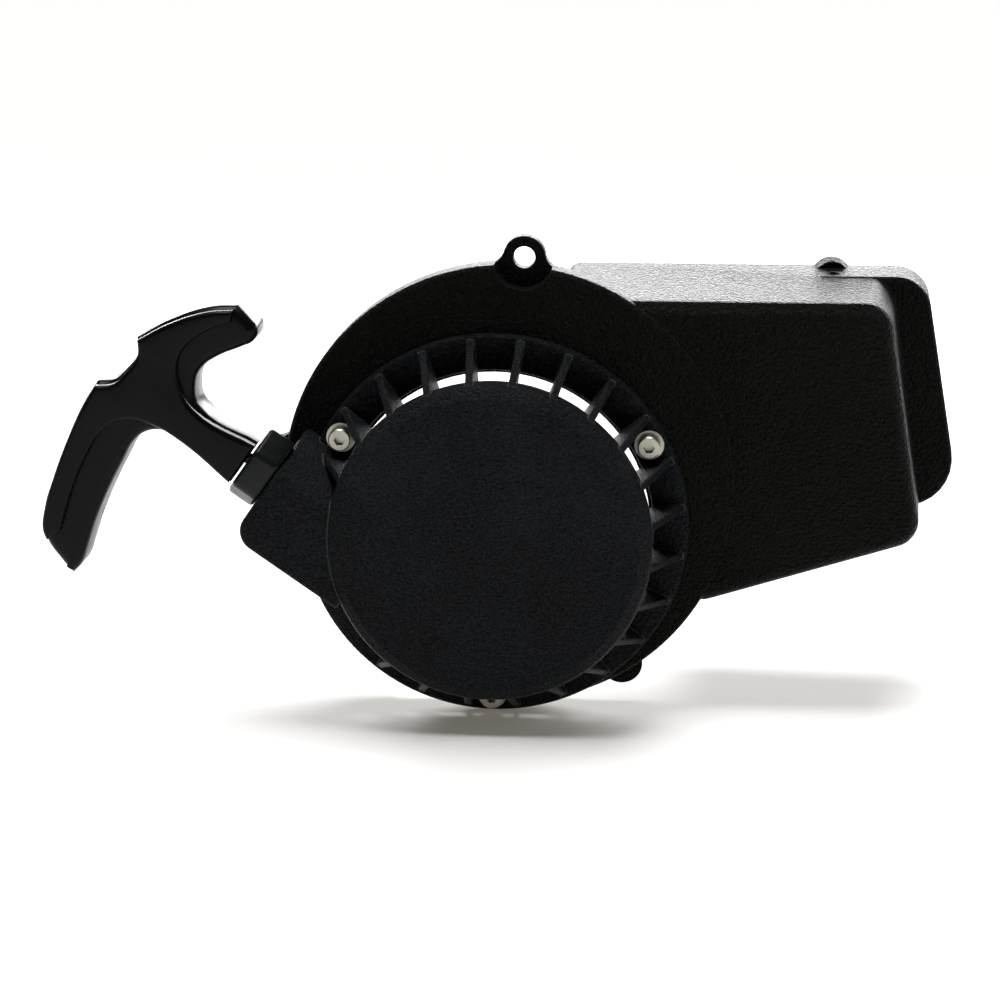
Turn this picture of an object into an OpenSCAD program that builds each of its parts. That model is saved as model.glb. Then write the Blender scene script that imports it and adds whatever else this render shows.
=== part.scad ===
// Recoil starter with fan cover for a small two-stroke engine.
// The crank axis is Y. The front, with the round recoil housing, faces -Y.
// The plane of the fan cover's mounting ears is y = 0, and +Z is up.

/* [Fan cover] */
// Outer radius of the round fan cover plate
cover_r = 69.5; // [60:0.5:80]
// Sideways offset of the plate's centre from the crank axis
cover_off_x = 3.8; // [0:0.1:6]
// Upward offset of the plate's centre from the crank axis
cover_off_z = 11.2; // [6:0.1:14]
// Depth from the front of the plate to the mounting plane
cover_depth = 11; // [9:0.5:16]
// Wall of the casting
cover_wall = 3; // [2.4:0.1:3.4]
// Radius of the air inlet in the plate
eye_r = 48; // [40:0.5:52]
// Radius round the edge of the plate
cover_edge_r = 1.4; // [0.6:0.1:2]

/* [Mounting ears] */
// Outer radius of an ear
ear_r = 6.5; // [5.5:0.1:8]
// Thickness of an ear
ear_t = 5; // [3:0.5:7]
// Hole for an M6 screw
ear_hole_d = 6.6; // [5.5:0.1:7]
// Radius of the scallop that clears the top ear's screw head
scallop_r = 9; // [8:0.5:11]

/* [Air duct] */
// Height of the duct's top edge at the front
duct_top = 69.5; // [60:0.5:76]
// Reach of the duct's front face from the crank axis
duct_reach = 130; // [115:1:150]
// Step of the duct's face behind the plate's face
duct_step = 0.8; // [0.4:0.1:2]
// Depth of the duct behind the mounting plane
duct_back = 38; // [25:1:46]
// Rise of the duct's top from front to back
duct_rise = 4.7; // [2:0.1:7]
// Growth of the duct's right side from front to back
duct_flare = 15; // [8:0.5:18]
// Size of the soft edge round the duct's front face
duct_edge = 3.2; // [1.5:0.1:4]

/* [Recoil housing] */
// Radius of the round housing
pod_r = 49; // [45:0.5:52]
// Radius of the flat front face
face_r = 45.3; // [40:0.1:47]
// Height of the housing's front face above the plate
pod_stand = 27; // [26:0.5:32]
// Wall of the housing
pod_wall = 2.8; // [2.2:0.1:3.4]
// Number of cooling ribs
rib_count = 24; // [18:1:30]
// Thickness of a rib
rib_t = 2.3; // [1.6:0.1:3]
// Outer radius of the foot ring that the ribs stand on
ring_r = 60; // [58:0.5:64]
// Thickness of the foot ring
ring_t = 3; // [2:0.5:4]

/* [Cover screws] */
// Thread size of the three screws that hold the housing
screw_d = 4; // [3:0.5:5]
// Radius of the circle that the screws stand on
screw_pcd_r = 54.4; // [53.5:0.1:55.5]

/* [Rope and reel] */
// Thickness of the starter rope
rope_d = 3.5; // [3:0.1:3.8]
// Radius of the reel
reel_r = 41; // [38:0.5:41.5]
// Radius of the bottom of the reel's groove
reel_root_r = 20; // [18:0.5:21]
// Width of the reel's groove
groove_w = 4.4; // [4:0.1:5]
// Thickness of a reel flange
flange_t = 2; // [1.6:0.1:2.4]
// Radius of the post that the reel turns on
post_r = 6; // [5:0.1:6.5]
// Turns of rope on the reel when the handle is home
rope_turns = 4; // [3:1:4]

/* [Rope outlet and handle] */
// Distance of the rope line from the crank axis
rope_line = 24; // [20:0.5:26]
// Angle of the rope line above the horizontal
rope_angle = 35.2; // [30:0.1:40]
// Distance along the rope line to the outlet's end face
outlet_u = 64.3; // [62:0.1:70]
// Length of the rope guide that shows
guide_len = 9; // [6:0.5:10]
// Thickness of the handle's bar
handle_t = 21; // [16:0.5:24]

/* [Hidden] */
$fn = 64;
eps = 0.01;
run_gap = 0.06;
side_gap = 0.4;

plate_y = -cover_depth;
chamber_r = cover_r - cover_wall;
ears = [[8.6, 82.2], [39.8, -46.5], [-66.8, 18.6]];
duct_ear = [104, 70.6];
ear_fillet = 5;
ear_reach = 13;
pad_proud = 0.4;
ear_inset = 0.5;
scallop_wall_t = 2;
lug_front_r = 3.6;
pilot_depth = 6;

ring_front_y = plate_y - ring_t;
face_y = plate_y - pod_stand;
rim_y = face_y + 1.7;
rim_w = 7;
cup_back_y = ring_front_y - 1.2;
cup_back_r = pod_r - 2.8;
ring_in_r = eye_r + 1;
rib_step = 360 / rib_count;
rib_first = 8;
outlet_clock = -rope_angle - 68;
rib_angles = [for (k = [0:rib_count - 1]) let (a = rib_first + k * rib_step)
    if (cos(a - outlet_clock) < cos(27)) a];
screw_angles = [for (k = [0:2]) rib_first + rib_step * (0.5 + round(rib_count / 8 + k * rib_count / 3))];

head_r = screw_d * 0.875;
head_h = screw_d;
washer_r = screw_d * 1.13;
washer_t = screw_d * 0.2;
socket_r = screw_d * 0.433;

floor_y = face_y + pod_wall;
spring_h = 5;
spring_strip = 0.45;
spring_turns = 9;
spring_in_r = 12.2;
spring_out_r = 32;
well_r = spring_out_r + 1.6;
well_wall = 2.2;
spring_front_y = floor_y + 0.5;
cover_disc_y = spring_front_y + spring_h + 0.5;
cover_disc_t = 0.8;
disc_hole_r = spring_in_r + 1.4;

reel_front_y = cover_disc_y + cover_disc_t + side_gap;
groove_front_y = reel_front_y + flange_t;
rope_y = groove_front_y + groove_w / 2;
reel_back_y = groove_front_y + groove_w + flange_t;
hub_r = spring_in_r - spring_strip - 0.3;
bush_wall = 1.8;
bush_r = post_r + run_gap + bush_wall;
wound_pitch = rope_d + 0.12;
wound_in_r = reel_root_r + rope_d / 2 + 0.2;

pawl_t = 3.4;
pawl_y = reel_back_y + side_gap;
pawl_pivot_r = 16.5;
pawl_pin_r = 2;
pawl_swing = 28;
plate_turn = 24;
pawl_len = 18.8;
pawl_droop = 16.7;
peg_r = 1.4;
peg_arm = 8;
slot_gap = 0.35;
cam_t = 1.4;
cam_y = pawl_y + pawl_t + side_gap;
cam_hub_r = 11.5;
peg_clock = 28;
brake_t = 0.7;
cap_washer_r = 10;
cap_washer_t = 1.2;
cap_y = cam_y + cam_t + brake_t + 0.15;
post_end_y = cap_y;
centre_d = 6;
centre_head_r = 5;
centre_head_h = 4;

rope_r = rope_d / 2;
cup_in_r = cup_back_r - pod_wall;
duct_left = 18;
duct_corner_z = -3.2;
duct_foot_x = 60;
duct_foot_z = -25.6;
boss_r = screw_d * 1.2;
fan_room_r = 58;
slice_t = 0.2;
tapped_r = 2.5;
tapped_depth = 10;
outlet_in_u = 26;
outlet_low = 20.5;
outlet_high = 5.5;
outlet_slope = 10.4;
outlet_front = rim_y + 0.6 - rope_y;
outlet_back = plate_y - rope_y;
corner_r = 5;
sleeve_len = 6;
passage_r = 4;
eyelet_depth = 4;
eyelet_lip = 2;
guide_turn = 0;
shank_r = 7.75;
coil_r = rope_r;
pin_r = 1.2;
pin_clock = 100;
pin_at_r = spring_out_r - 1;
pin_sunk = 1.5;
pin_in = 5;
reel_knot_r = 2.7;
knot_clock = 90;
knot_at_r = 14;
window_r = 5;
window_at_r = 31;
pawl_eye_r = 4.6;
pawl_spring_r = 2.9;
pawl_spring_h = 1.3;
brake_out_r = 9.4;
centre_depth = 12;

rope_dir = [-cos(rope_angle), 0, sin(rope_angle)];
rope_cross = [sin(rope_angle), 0, cos(rope_angle)];
guide_u = outlet_u + guide_len;
guide_r = 10.6;
guide_hole_r = 3.4;
sleeve_r = 6.2;
eyelet_r = 5;
handle_u = guide_u + side_gap;
knot_r = 4.2;
knot_u = 112;
bend_u = outlet_u - 8;
bend_r = 14;
lay_r = wound_in_r + (rope_turns - 1) * wound_pitch;
bend_to_axis = norm([bend_u, rope_line]);
bend_angle = asin(lay_r / bend_to_axis) - atan2(rope_line, bend_u);
coil_clear = 0.6;
coil_stop = sqrt(pow(lay_r + rope_d + coil_clear, 2) - lay_r * lay_r);
run_len = sqrt(bend_to_axis * bend_to_axis - lay_r * lay_r) - coil_stop;
turn_reach = bend_r * tan(bend_angle / 2);
turn_dir = [-cos(bend_angle), -sin(bend_angle)];
knot_bore_u = knot_u - 1;
rope_stop_u = knot_bore_u - 0.2;
rope_sides = 8;
// Rope's centre line, along and across it: from the handle's knot, round the bend, to just short of the wound rope
rope_route = concat(
    [for (i = [0:5]) [rope_stop_u + (bend_u + turn_reach - rope_stop_u) * i / 6, 0]],
    [for (i = [0:3]) let (a = bend_angle * i / 3) [bend_u + turn_reach - bend_r * sin(a), -bend_r * (1 - cos(a))]],
    [for (i = [1:4]) [bend_u, 0] + turn_dir * (turn_reach + (run_len - turn_reach) * i / 4)]);

// Turn a shape drawn in X and Y, extruded along Z, so that it stands in X and Z with its depth along Y
module upright(y = 0) {
    translate([0, y, 0]) rotate([90, 0, 0]) mirror([0, 0, 1]) children();
}
// Cylinder along Y from y0 to y1, round a point in X and Z
module y_rod(r, y0, y1, x = 0, z = 0, fn = 64) {
    translate([x, y0, z]) rotate([-90, 0, 0]) cylinder(h = y1 - y0, r = r, $fn = fn);
}
// Solid of revolution about Y, from [radius, y] pairs
module y_turned(points) {
    rotate([-90, 0, 0]) rotate_extrude($fn = 96) polygon(points);
}
// Place a shape on a clock angle, measured from straight up towards +X
module at_clock(angle) {
    rotate([0, angle, 0]) children();
}
// Place a shape in the rope's frame: local X along the rope outwards, local Y across it, local Z to the back
module on_rope() {
    translate([-rope_line * sin(rope_angle), rope_y, -rope_line * cos(rope_angle)])
        multmatrix([[rope_dir[0], rope_cross[0], 0, 0], [0, 0, 1, 0], [rope_dir[2], rope_cross[2], 0, 0], [0, 0, 0, 1]])
            children();
}
// Points on a cubic curve through two ends and two handles, without the last one
function curve(a, b, c, d, n = 8) =
    [for (i = [0:n - 1]) let (t = i / n, s = 1 - t) s * s * s * a + 3 * s * s * t * b + 3 * s * t * t * c + t * t * t * d];
// Point on a circle at a clock angle in X and Z
function clock(r, angle) = [r * sin(angle), r * cos(angle)];

// Centre of a pawl's peg in the reel's frame, for a swing from 0 (folded in) to 1 (thrown out)
function peg_at(t) = let (a = pawl_swing * t - pawl_droop) [peg_arm * cos(a), pawl_pivot_r + peg_arm * sin(a)];
// The same point in the friction plate's frame, which lags behind the reel
function peg_in_plate(t) = let (p = peg_at(t), a = plate_turn * t)
    [p[0] * cos(a) + p[1] * sin(a), p[1] * cos(a) - p[0] * sin(a)];

// Front outline of the duct, from its flat face (grow = 0) to the foot of its soft edge (grow = 1)
function duct_front(grow) = [
    [duct_left, duct_top - 0.3 * (1 - grow)],
    [duct_reach - 11.8 - (1 - grow) * duct_edge, duct_top],
    [duct_reach + 0.8 - (1 - grow) * duct_edge * 1.5, duct_corner_z + (1 - grow) * duct_edge * 2.6],
    [duct_foot_x, duct_foot_z + (1 - grow) * duct_edge * 2.6]
];
// Outline of the duct's open back
function duct_rear() = [
    [duct_left, duct_top + duct_rise],
    [duct_reach - 11.8 + duct_flare, duct_top + duct_rise],
    [duct_reach + 2.8 + duct_flare, duct_corner_z + 1],
    [duct_foot_x, duct_foot_z - 4.2]
];

// A thin slice of the duct at depth y, with rounded corners, shrunk by inset
module duct_slice(points, y, inset, corner) {
    upright(y) linear_extrude(slice_t) offset(r = corner, $fn = 32) offset(delta = -corner - inset) polygon(points);
}
// The duct as one solid, shrunk by inset and running on past its back by over
module duct_body(inset, over) {
    front = plate_y + duct_step + inset;
    hull() {
        duct_slice(duct_front(0), front, inset, 3.5);
        duct_slice(duct_front(1), front + duct_edge * 1.1, inset, 4);
        duct_slice(duct_rear(), duct_back + over - slice_t, inset, 9);
    }
}
// Outline of a mounting ear, blended into the plate's round edge
module ear_outline(at) {
    centre = [cover_off_x, cover_off_z];
    intersection() {
        offset(r = -ear_fillet, $fn = 32) offset(delta = ear_fillet) union() {
            translate(at) circle(ear_r, $fn = 40);
            translate(centre) circle(cover_r - 0.6, $fn = 120);
        }
        translate(at) circle(ear_reach);
    }
}
module ear_body(at) {
    difference() {
        upright(-ear_t) linear_extrude(ear_t) ear_outline(at);
        y_rod(chamber_r + ear_inset, -ear_t - 1, 1, cover_off_x, cover_off_z, 96);
    }
}
// Wall round the scallop, so that it doesn't break through into the fan chamber
module scallop_wall(at) {
    intersection() {
        y_rod(scallop_r + scallop_wall_t, plate_y + 1, -pad_proud - eps, at[0], at[1]);
        y_rod(cover_r - 0.2, plate_y, 0, cover_off_x, cover_off_z, 96);
    }
}
// Lug on the duct's back edge, tapering away towards the front
module duct_lug(at) {
    front = duct_back - tapped_depth - 2;
    translate([at[0], front, at[1]]) rotate([-90, 0, 0]) {
        cylinder(h = tapped_depth, r1 = lug_front_r, r2 = ear_r);
        translate([0, 0, tapped_depth - eps]) cylinder(h = 2 + eps, r = ear_r);
    }
}
module plate_body() {
    r = cover_r;
    e = cover_edge_r;
    translate([cover_off_x, 0, cover_off_z]) y_turned(concat(
        [[0, -pad_proud], [0, plate_y], [r - e, plate_y]],
        [for (a = [15:15:75]) [r - e + e * sin(a), plate_y + e - e * cos(a)]],
        [[r, plate_y + e], [r, -pad_proud]]));
}

module fan_cover() {
    back_ears = [ears[1], ears[2]];
    color("#17181a") difference() {
        union() {
            difference() {
                union() {
                    plate_body();
                    duct_body(0, 0);
                }
                y_rod(chamber_r, plate_y + cover_wall, eps, cover_off_x, cover_off_z, 96);
                y_rod(fan_room_r, -cover_wall, duct_back + 1, 0, 0, 96);
                duct_body(cover_wall, 1);
            }
            for (at = ears) ear_body(at);
            scallop_wall(ears[0]);
            for (at = back_ears) y_rod(ear_r - 0.7, plate_y + 1, -0.5, at[0], at[1]);
            for (a = screw_angles) at_clock(a) y_rod(boss_r, plate_y + 1, plate_y + pilot_depth + 1, 0, screw_pcd_r);
            duct_lug(duct_ear);
        }
        y_rod(eye_r, plate_y - 1, plate_y + cover_wall + 1, 0, 0, 96);
        y_rod(ear_hole_d / 2, plate_y - 1, 1, ears[0][0], ears[0][1]);
        y_rod(scallop_r, plate_y - 1, -ear_t, ears[0][0], ears[0][1]);
        for (at = back_ears) y_rod(tapped_r, -ear_t - 2, 1, at[0], at[1]);
        for (a = screw_angles) at_clock(a) y_rod(screw_d / 2 + run_gap, plate_y - 1, 0, 0, screw_pcd_r);
        y_rod(tapped_r, duct_back - tapped_depth, duct_back + 1, duct_ear[0], duct_ear[1]);
    }
}

module rib() {
    inner = cup_back_r - 1.2;
    translate([-rib_t / 2, 0, 0]) rotate([90, 0, 90]) linear_extrude(rib_t) polygon([
        [rim_y + rim_w * 0.3, pod_r - 1.5],
        [rim_y + rim_w * 0.3, pod_r + 0.2],
        [ring_front_y + 1, ring_r - 1],
        [ring_front_y + 1, ring_in_r + 0.5],
        [cup_back_y - 0.3, inner],
        [rim_y + rim_w, inner]
    ]);
}
module cup_body() {
    inner = cup_in_r;
    y_turned([
        [0, face_y], [face_r - 0.5, face_y], [face_r, face_y + 0.35],
        [pod_r - 1.3, rim_y - 0.3], [pod_r - 0.35, rim_y + 0.2], [pod_r, rim_y + 1.1],
        [pod_r, rim_y + rim_w], [cup_back_r, cup_back_y], [inner, cup_back_y],
        [inner, floor_y + 2], [inner - 2, floor_y], [0, floor_y]
    ]);
}
// Cross-section of the rope outlet, drawn across the rope line and from front to back
module outlet_section() {
    polygon([
        [-outlet_low, outlet_front + 3], [-outlet_low + 3, outlet_front], [outlet_high - 1, outlet_front],
        [outlet_high, outlet_front + 1], [outlet_high + outlet_slope, outlet_back], [-outlet_low, outlet_back]
    ]);
}
module outlet_body() {
    on_rope() difference() {
        translate([outlet_in_u, 0, 0]) rotate([90, 0, 90]) linear_extrude(outlet_u - outlet_in_u) outlet_section();
        translate([outlet_u, -outlet_low, outlet_front - 1]) linear_extrude(outlet_back - outlet_front + 2)
            difference() {
                translate([-corner_r, -1]) square([corner_r + 1, corner_r + 1]);
                translate([-corner_r, corner_r]) circle(corner_r);
            }
    }
}

module recoil_housing() {
    color("#1b1c22") difference() {
        union() {
            cup_body();
            for (a = rib_angles) at_clock(a) rib();
            difference() {
                outlet_body();
                y_rod(cup_in_r + 0.8, floor_y + 1, cup_back_y - 0.5, 0, 0, 96);
                y_rod(eye_r + 0.5, cup_back_y - 1, plate_y + 1, 0, 0, 96);
            }
            y_turned([
                [ring_in_r, plate_y], [ring_r, plate_y], [ring_r, ring_front_y + 0.8],
                [ring_r - 0.8, ring_front_y], [ring_in_r, ring_front_y]
            ]);
            y_rod(post_r, floor_y - 1, post_end_y);
            y_turned([
                [well_r, floor_y - 1], [well_r + well_wall, floor_y - 1],
                [well_r + well_wall, cover_disc_y], [well_r, cover_disc_y]
            ]);
        }
        y_rod(centre_d / 2 + run_gap, post_end_y - centre_depth, post_end_y + 1);
        for (a = screw_angles) at_clock(a) y_rod(screw_d / 2 + 0.25, ring_front_y - 1, plate_y + 1, 0, screw_pcd_r);
        at_clock(pin_clock) y_rod(pin_r, floor_y - pin_sunk, floor_y + 1, 0, pin_at_r);
        on_rope() {
            rotate([0, 90, 0]) translate([0, 0, outlet_u - sleeve_len - 1]) cylinder(h = sleeve_len + 2, r = sleeve_r + 0.1);
            rotate([0, 90, 0]) translate([0, 0, bend_u]) cylinder(h = sleeve_len, r = passage_r);
            translate([bend_u + 1, 0, 0]) rotate([0, 0, bend_angle]) rotate([0, -90, 0])
                cylinder(h = bend_u - outlet_in_u, r = passage_r + 0.2);
        }
    }
}
module cover_screws() {
    top = ring_front_y - washer_t;
    color("#c9c3a6") for (a = screw_angles) at_clock(a) translate([0, 0, screw_pcd_r]) difference() {
        union() {
            y_rod(screw_d / 2, top - eps, plate_y + pilot_depth - 0.5);
            y_turned([[0, top], [head_r, top], [head_r, top - head_h + 0.4], [head_r - 0.4, top - head_h], [0, top - head_h]]);
        }
        y_rod(socket_r, top - head_h - 1, top - head_h / 2, 0, 0, 6);
    }
}
module cover_washers() {
    color("#b9b7aa") for (a = screw_angles) at_clock(a) translate([0, 0, screw_pcd_r]) difference() {
        y_rod(washer_r, ring_front_y - washer_t, ring_front_y);
        y_rod(screw_d / 2 + 0.15, ring_front_y - washer_t - 1, ring_front_y + 1);
    }
}

module rope_guide() {
    color("#2a302e") on_rope() rotate([0, 90, 0]) difference() {
        union() {
            translate([0, 0, outlet_u + 0.05]) linear_extrude(guide_len - 0.05) offset(r = 2.2, $fn = 32)
                rotate(guide_turn) circle(guide_r - 0.2, $fn = 6);
            translate([0, 0, outlet_u - sleeve_len]) cylinder(h = sleeve_len + 1, r = sleeve_r);
        }
        translate([0, 0, outlet_u - sleeve_len - 1]) cylinder(h = sleeve_len + guide_len + 2, r = guide_hole_r);
        translate([0, 0, guide_u - eyelet_depth]) cylinder(h = eyelet_depth + 1, r = eyelet_r + 0.03);
    }
}
module rope_eyelet() {
    low = guide_u - eyelet_depth;
    color("#8d8f92") on_rope() rotate([0, 90, 0]) rotate_extrude($fn = 64) polygon(concat(
        [[eyelet_r, low], [eyelet_r, guide_u - 0.1]],
        [for (a = [90:-15:0]) [rope_r + 0.5 + eyelet_lip * (1 - cos(a)), guide_u - 0.1 - eyelet_lip * (1 - sin(a))]],
        [[rope_r + 0.5, low]]));
}

// Side outline of the grip, along the rope line and across it
module grip_outline() {
    polygon(concat(
        [[handle_u + 16, shank_r - 1.4]],
        curve([94.6, 6.4], [97.5, 8.6], [101.4, 12], [100.8, 16]),
        curve([100.8, 16], [99.6, 22.5], [93.5, 28], [92, 32]),
        curve([92, 32], [91.6, 36.5], [96, 38.2], [102, 38.6]),
        curve([102, 38.6], [109, 35], [117.5, 24], [121.4, 13]),
        [[121.4, 13], [118.6, 9.4], [118.6, -1.4], [123.8, -5.2]],
        curve([123.8, -5.2], [124.2, -22], [119, -46], [110.5, -56.4]),
        curve([110.5, -56.4], [107.5, -58.5], [102, -60.3], [98, -60.6]),
        curve([98, -60.6], [95.2, -58.5], [100, -46], [102.2, -34]),
        curve([102.2, -34], [104.8, -21], [106.8, -8.4], [94.6, -5.8]),
        [[handle_u + 16, -shank_r + 1.7]]));
}
module grip_layer(inset, t) {
    translate([0, 0, -t / 2]) linear_extrude(t) offset(delta = -inset) grip_outline();
}
module pull_handle() {
    color("#0c0c0d") on_rope() difference() {
        union() {
            grip_layer(0, handle_t - 7);
            grip_layer(1, handle_t - 3.4);
            grip_layer(2.6, handle_t);
            rotate([0, 90, 0]) translate([0, 0, handle_u]) cylinder(h = 26, r1 = shank_r, r2 = shank_r - 1.6);
        }
        rotate([0, 90, 0]) translate([0, 0, handle_u - 1]) cylinder(h = knot_u - handle_u, r = rope_r + 0.3);
        rotate([0, 90, 0]) translate([0, 0, knot_u - knot_r - 0.4]) cylinder(h = 30, r = knot_r + 0.4);
    }
}
module handle_knot() {
    color("#b79b72") on_rope() difference() {
        translate([knot_u, 0, 0]) sphere(knot_r, $fn = 48);
        rotate([0, 90, 0]) translate([0, 0, knot_bore_u - knot_r]) cylinder(h = knot_r, r = rope_r + 0.05);
    }
}
module handle_plug() {
    color("#101012") on_rope() rotate([0, 90, 0]) translate([0, 0, knot_u + knot_r + 0.3])
        cylinder(h = 1.8, r = knot_r + 0.34);
}
// Ring of points round point i of a route drawn along and across the rope
function tube_ring(route, i, r, n) =
    let (a = route[max(i - 1, 0)], b = route[min(i + 1, len(route) - 1)], d = (b - a) / norm(b - a))
    [for (k = [0:n - 1]) let (c = r * cos(360 * k / n))
        [route[i][0] - c * d[1], route[i][1] + c * d[0], r * sin(360 * k / n)]];
// Tube with n sides along a route, as one closed solid
module tube(route, r, n) {
    last = len(route) - 1;
    polyhedron(
        points = [for (i = [0:last]) each tube_ring(route, i, r, n)],
        faces = concat(
            [[for (k = [0:n - 1]) k]],
            [for (i = [0:last - 1], k = [0:n - 1])
                [i * n + k, (i + 1) * n + k, (i + 1) * n + (k + 1) % n, i * n + (k + 1) % n]],
            [[for (k = [n - 1:-1:0]) last * n + k]]));
}
module rope_run() {
    color("#b79b72") on_rope() tube(rope_route, rope_r, rope_sides);
}
module rope_coil() {
    color("#b79b72") for (k = [0:rope_turns - 1]) rotate([-90, 0, 0])
        rotate_extrude($fn = 72) translate([wound_in_r + k * wound_pitch, rope_y]) circle(coil_r, $fn = 16);
}

module reel() {
    color("#d8d6cc") difference() {
        y_turned([
            [bush_r, spring_front_y], [hub_r, spring_front_y], [hub_r, reel_front_y], [reel_r, reel_front_y],
            [reel_r, groove_front_y - 0.5], [reel_r - 0.5, groove_front_y], [reel_root_r, groove_front_y],
            [reel_root_r, groove_front_y + groove_w], [reel_r - 0.5, groove_front_y + groove_w],
            [reel_r, groove_front_y + groove_w + 0.5], [reel_r, reel_back_y], [bush_r, reel_back_y]
        ]);
        for (a = [0, 180]) at_clock(a) y_rod(pawl_pin_r, reel_back_y - pin_in, reel_back_y + 1, 0, pawl_pivot_r);
        at_clock(knot_clock) {
            y_rod(reel_knot_r + 0.3, rope_y - reel_knot_r - 0.1, reel_back_y + 1, 0, knot_at_r);
            translate([0, rope_y, knot_at_r]) cylinder(h = reel_root_r - knot_at_r + 1, r = rope_r + 0.2);
        }
        for (k = [0:5]) at_clock(30 + 60 * k) {
            y_rod(window_r, groove_front_y + groove_w - 1, reel_back_y + 1, 0, window_at_r);
            y_rod(window_r, reel_front_y - 1, groove_front_y + 1, 0, window_at_r);
        }
        at_clock(pin_clock + 180) translate([-0.5, spring_front_y - 1, hub_r - 2]) cube([1, spring_h + 1, 3]);
    }
}
module reel_bush() {
    color("#a5763a") difference() {
        y_rod(bush_r, spring_front_y, reel_back_y);
        y_rod(post_r + run_gap, spring_front_y - 1, reel_back_y + 1);
    }
}
module reel_knot() {
    color("#b79b72") at_clock(knot_clock) translate([0, rope_y, knot_at_r]) union() {
        sphere(reel_knot_r, $fn = 32);
        cylinder(h = wound_in_r - knot_at_r - rope_r - 0.1, r = rope_r, $fn = 24);
    }
}
// Spiral strip: the outer edge out, then the inner edge back
module spiral(r0, r1, turns, t, n) {
    polygon(concat(
        [for (i = [0:n]) clock(r0 + (r1 - r0) * i / n + t / 2, 360 * turns * i / n)],
        [for (i = [n:-1:0]) clock(r0 + (r1 - r0) * i / n - t / 2, 360 * turns * i / n)]));
}
module recoil_spring() {
    loop_angle = asin((pin_r + spring_strip * 0.7) / pin_at_r);
    color("#5d6470") at_clock(pin_clock + 180) union() {
        upright(spring_front_y) linear_extrude(spring_h)
            spiral(spring_in_r, spring_out_r - 1, spring_turns + 0.5 - loop_angle / 360, spring_strip, 24 * spring_turns);
        translate([-spring_strip / 2, spring_front_y, hub_r - 1.4]) cube([spring_strip, spring_h, spring_in_r - hub_r + 1.4]);
        rotate([0, 180, 0]) translate([0, 0, pin_at_r]) difference() {
            y_rod(pin_r + 0.05 + spring_strip, spring_front_y, spring_front_y + spring_h);
            y_rod(pin_r + 0.05, spring_front_y - 1, spring_front_y + spring_h + 1);
        }
    }
}
module spring_pin() {
    color("#9a9c9e") at_clock(pin_clock) y_rod(pin_r, floor_y - pin_sunk, spring_front_y + spring_h, 0, pin_at_r, 32);
}
module spring_cover() {
    color("#8f9296") difference() {
        y_rod(well_r + well_wall, cover_disc_y, cover_disc_y + cover_disc_t);
        y_rod(disc_hole_r, cover_disc_y - 1, cover_disc_y + cover_disc_t + 1);
        for (k = [0:2]) at_clock(40 + 120 * k) y_rod(3, cover_disc_y - 1, cover_disc_y + cover_disc_t + 1, 0, well_r - 10);
    }
}

module pawl() {
    tip = [pawl_len * cos(pawl_droop), pawl_pivot_r - pawl_len * sin(pawl_droop)];
    difference() {
        union() {
            y_rod(pawl_eye_r, pawl_y, pawl_y + pawl_t, 0, pawl_pivot_r);
            upright(pawl_y) linear_extrude(pawl_t) polygon(concat(
                [[-1, pawl_pivot_r + pawl_eye_r - 0.3], [4, pawl_pivot_r + 3.2]],
                curve([4, pawl_pivot_r + 3.2], [9, pawl_pivot_r + 1.8], [14, pawl_pivot_r - 0.5], tip + [0.6, 2.4]),
                [tip + [0.6, 2.4], tip + [0, -1.8]],
                curve(tip + [0, -1.8], [12, pawl_pivot_r - 6], [6, pawl_pivot_r - 5], [-1, pawl_pivot_r - pawl_eye_r + 0.3])));
            y_rod(peg_r, pawl_y + pawl_t - eps, cam_y + cam_t + 0.2, peg_at(0)[0], peg_at(0)[1], 32);
        }
        y_rod(pawl_pin_r + run_gap, pawl_y - 1, pawl_y + pawl_t + 1, 0, pawl_pivot_r);
        y_rod(pawl_spring_r + 0.3, pawl_y - 1, pawl_y + pawl_spring_h + 0.2, 0, pawl_pivot_r);
    }
}
module pawl_upper() {
    color("#a9abad") pawl();
}
module pawl_lower() {
    color("#a9abad") at_clock(180) pawl();
}
module pawl_pins() {
    color("#c4c6c8") for (a = [0, 180]) at_clock(a)
        y_rod(pawl_pin_r, reel_back_y - pin_in, pawl_y + pawl_t, 0, pawl_pivot_r, 48);
}
module pawl_springs() {
    color("#6c7076") for (a = [0, 180]) at_clock(a) translate([0, 0, pawl_pivot_r]) difference() {
        y_rod(pawl_spring_r, pawl_y + 0.05, pawl_y + pawl_spring_h, 0, 0, 32);
        y_rod(pawl_pin_r + 0.12, pawl_y - 1, pawl_y + pawl_spring_h + 1, 0, 0, 32);
    }
}
// Outline, r wide each side, of the path that a pawl's peg takes in the lagging friction plate
function cam_path(r) =
    let (p = peg_in_plate(0), q = peg_in_plate(1), a = atan2(q[1] - p[1], q[0] - p[0]))
    concat(
        [for (i = [0:6]) p + r * [cos(a + 90 + 30 * i), sin(a + 90 + 30 * i)]],
        [peg_in_plate(0.5) - r * [-sin(a), cos(a)]],
        [for (i = [0:6]) q + r * [cos(a - 90 + 30 * i), sin(a - 90 + 30 * i)]],
        [peg_in_plate(0.5) + r * [-sin(a), cos(a)]]);
module friction_plate() {
    color("#b8babc") difference() {
        union() {
            y_rod(cam_hub_r, cam_y, cam_y + cam_t);
            for (a = [0, 180]) at_clock(a) {
                upright(cam_y) linear_extrude(cam_t) polygon(cam_path(peg_r + slot_gap + 2.2));
                at_clock(peg_clock + 6) translate([-4.5, cam_y, 5]) cube([9, cam_t, peg_arm + 2]);
            }
        }
        for (a = [0, 180]) at_clock(a) upright(cam_y - 1) linear_extrude(cam_t + 2) polygon(cam_path(peg_r + slot_gap));
        y_rod(post_r + run_gap, cam_y - 1, cam_y + cam_t + 1);
    }
}
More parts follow.
